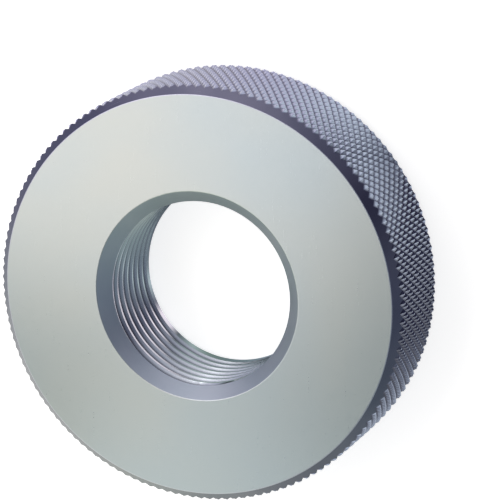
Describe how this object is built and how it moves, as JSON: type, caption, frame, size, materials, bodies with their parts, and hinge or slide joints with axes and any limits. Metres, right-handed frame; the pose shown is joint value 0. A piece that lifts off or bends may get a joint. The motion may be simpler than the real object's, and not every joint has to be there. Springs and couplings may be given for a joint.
{
  "type": "thread ring gauge",
  "caption": "Round steel ring with a fine-threaded bore, countersunk mouths and a diamond-knurled rim, screwed by hand onto an external thread to check it.",
  "frame": {"origin": "centre of the lower face, where the ring lies on a bench", "axes": "+Z along the thread's axis, from the lower face to the upper face"},
  "size_m": [0.063, 0.063, 0.0185],
  "materials": {
    "ring_steel": "hardened steel, satin-ground faces, knurled rim"
  },
  "bodies": {
    "root": {"gauge_ring": "ring_steel"}
  },
  "joints": []
}
